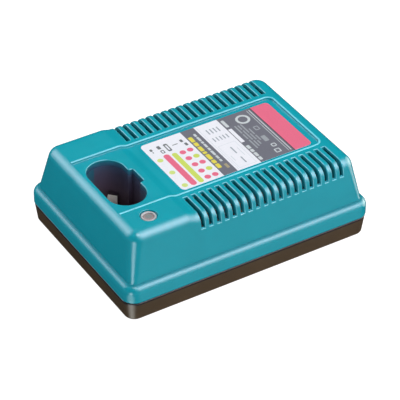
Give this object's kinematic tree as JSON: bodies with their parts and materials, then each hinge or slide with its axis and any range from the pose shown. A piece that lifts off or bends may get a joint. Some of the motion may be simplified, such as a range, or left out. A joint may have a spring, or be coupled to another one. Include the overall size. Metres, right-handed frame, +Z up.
{
  "type": "power tool battery charger",
  "caption": "Desktop charger for stem-type tool battery packs: vented upper housing with a keyed socket, sprung contacts, lamp and label, on a dark base with rubber feet.",
  "frame": {"origin": "centre of the underside of the bounding box, on the plane that the rubber feet stand on", "axes": "+X along the length, from the battery socket to the end with the cord entry; +Y to the back, with the lamp on the -Y side; +Z up"},
  "size_m": [0.19, 0.137, 0.0633],
  "materials": {
    "teal_plastic": "satin, fine moulded texture",
    "dark_plastic": "fine moulded texture",
    "black_plastic": "fine moulded texture",
    "zinc_screw": "zinc plated",
    "tinned_brass": "bright",
    "contact_metal": "bright, lightly rubbed",
    "ring_plastic": "bright",
    "lens_plastic": "frosted",
    "led_epoxy": "clear red",
    "board_green": "solder mask",
    "label_film": "satin film",
    "foot_rubber": "matte",
    "gland_rubber": "matte",
    "insulation": "fibre sheet",
    "board_brown": "bare laminate",
    "connector_plastic": "matte",
    "fuse_glass": "clear",
    "yellow_box": "gloss",
    "ferrite": "matte",
    "copper_wire": "enamelled",
    "black_epoxy": "matte",
    "capacitor_sleeve": "heat-shrink sleeve",
    "winding_tape": "polyester tape",
    "sink_aluminium": "raw",
    "relay_plastic": "matte",
    "opto_white": "matte",
    "resistor_body": "lacquered",
    "blue_disc": "dipped",
    "red_lead": "insulation",
    "black_lead": "insulation",
    "yellow_lead": "insulation"
  },
  "bodies": {
    "charger": {"top_housing": "teal_plastic", "base_housing": "dark_plastic", "terminal_holder": "black_plastic", "holder_screws": "zinc_screw", "positive_terminal": "tinned_brass", "negative_terminal": "tinned_brass", "sense_terminal": "tinned_brass", "lamp_ring": "ring_plastic", "lamp_lens": "lens_plastic", "charge_led": "led_epoxy", "lamp_board": "board_green", "lamp_board_screw": "zinc_screw", "lamp_leads": "red_lead", "instruction_label": "label_film", "rubber_feet": "foot_rubber", "housing_screws": "zinc_screw", "cord_gland": "gland_rubber", "insulation_sheet": "insulation", "circuit_board": "board_brown", "board_screws": "zinc_screw", "mains_connector": "connector_plastic", "fuse": "fuse_glass", "fuse_clips": "tinned_brass", "suppression_capacitor": "yellow_box", "line_choke_core": "ferrite", "line_choke_winding": "copper_wire", "bridge_rectifier": "black_epoxy", "primary_capacitor": "capacitor_sleeve", "transformer_core": "ferrite", "transformer_bobbin": "black_plastic", "transformer_winding": "winding_tape", "switching_transistor": "black_epoxy", "transistor_heatsink": "sink_aluminium", "output_diode": "black_epoxy", "diode_heatsink": "sink_aluminium", "heatsink_screws": "zinc_screw", "output_capacitors": "capacitor_sleeve", "output_relay": "relay_plastic", "control_chip": "black_epoxy", "optocoupler": "opto_white", "resistors": "resistor_body", "disc_capacitors": "blue_disc", "positive_lead": "red_lead", "negative_lead": "black_lead", "sense_lead": "yellow_lead"},
    "positive_contact": {"positive_contact": "contact_metal"},
    "negative_contact": {"negative_contact": "contact_metal"},
    "sense_contact": {"sense_contact": "contact_metal"}
  },
  "joints": [
    {"name": "positive_contact_flex", "type": "hinge", "parent": "charger", "child": "positive_contact", "pos_m": [-0.05538, 0.02113, 0.0162], "axis": [-0.6691, 0.7431, 0], "range_deg": [0, 6], "stiffness_Nm_per_rad": 0.3, "springref_deg": -2.86},
    {"name": "negative_contact_flex", "type": "hinge", "parent": "charger", "child": "negative_contact", "pos_m": [-0.05538, -0.02113, 0.0162], "axis": [0.6691, 0.7431, 0], "range_deg": [0, 6], "stiffness_Nm_per_rad": 0.3, "springref_deg": -2.86},
    {"name": "sense_contact_flex", "type": "hinge", "parent": "charger", "child": "sense_contact", "pos_m": [-0.07322, 0.02113, 0.0162], "axis": [-0.6691, -0.7431, 0], "range_deg": [0, 6], "stiffness_Nm_per_rad": 0.3, "springref_deg": -2.86}
  ]
}
